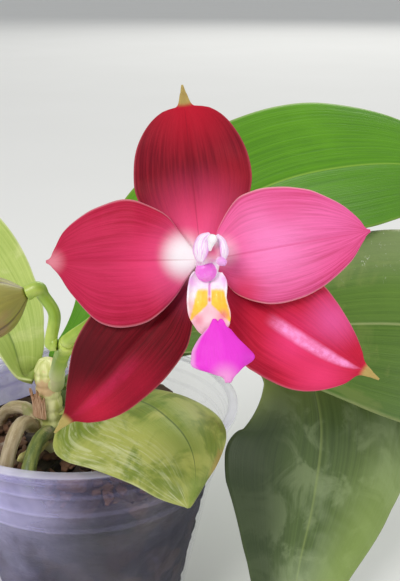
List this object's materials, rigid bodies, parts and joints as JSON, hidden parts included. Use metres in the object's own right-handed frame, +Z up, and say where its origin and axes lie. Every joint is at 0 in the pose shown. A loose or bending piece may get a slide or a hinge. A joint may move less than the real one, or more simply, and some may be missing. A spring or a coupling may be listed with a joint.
{
  "type": "potted orchid",
  "caption": "Flowering moth orchid in a clear ribbed nursery pot: crimson open flower with a magenta lip, a bud, broad strap leaves, aerial roots and bark mix; stands flat",
  "frame": {"origin": "centre of the pot's flat base", "axes": "+Z up; the open flower faces -Y and looks up a little; +X is to its right as seen from the front"},
  "size_m": [0.3509, 0.1924, 0.2022],
  "materials": {
    "pot": "gloss",
    "potting_mix": "matte",
    "bark_chip": "matte",
    "bark_chip_dark": "matte",
    "stem": "satin",
    "old_sheath": "matte",
    "root_green": "satin",
    "root_tan": "matte",
    "root_yellow": "satin",
    "leaf_upper_right": "satin",
    "leaf_right": "satin",
    "leaf_lower_right": "satin",
    "leaf_left": "satin",
    "leaf_front_small": "satin",
    "flower_stalk": "satin",
    "bract": "matte",
    "flower_bud": "satin",
    "crimson_tepal": "satin",
    "dorsal_sepal": "satin",
    "column": "satin",
    "anther_cap": "satin",
    "lip": "satin"
  },
  "bodies": {
    "root": {"pot": "pot", "potting_mix": "potting_mix", "bark_chip_1": "bark_chip", "bark_chip_2": "bark_chip_dark", "bark_chip_3": "bark_chip", "bark_chip_4": "bark_chip_dark", "bark_chip_5": "bark_chip", "bark_chip_6": "bark_chip_dark", "bark_chip_7": "bark_chip", "bark_chip_8": "bark_chip_dark", "bark_chip_9": "bark_chip", "bark_chip_10": "bark_chip_dark", "bark_chip_11": "bark_chip", "bark_chip_12": "bark_chip_dark", "stem": "stem", "old_sheath": "old_sheath", "root_front": "root_green", "root_left": "root_tan", "root_tip_low": "root_yellow", "root_back": "root_green", "root_back_left": "root_tan", "root_right": "root_green", "leaf_upper_right": "leaf_upper_right", "leaf_right": "leaf_right", "leaf_lower_right": "leaf_lower_right", "leaf_left": "leaf_left", "leaf_front_small": "leaf_front_small", "flower_spike": "flower_stalk", "flower_pedicel": "flower_stalk", "bud_pedicel": "flower_stalk", "flower_bud": "flower_bud", "bract_upper": "bract", "bract_lower": "bract", "dorsal_sepal": "dorsal_sepal", "left_petal": "crimson_tepal", "right_petal": "crimson_tepal", "left_lateral_sepal": "crimson_tepal", "right_lateral_sepal": "crimson_tepal", "column": "column", "anther_cap": "anther_cap", "lip": "lip"}
  },
  "joints": []
}
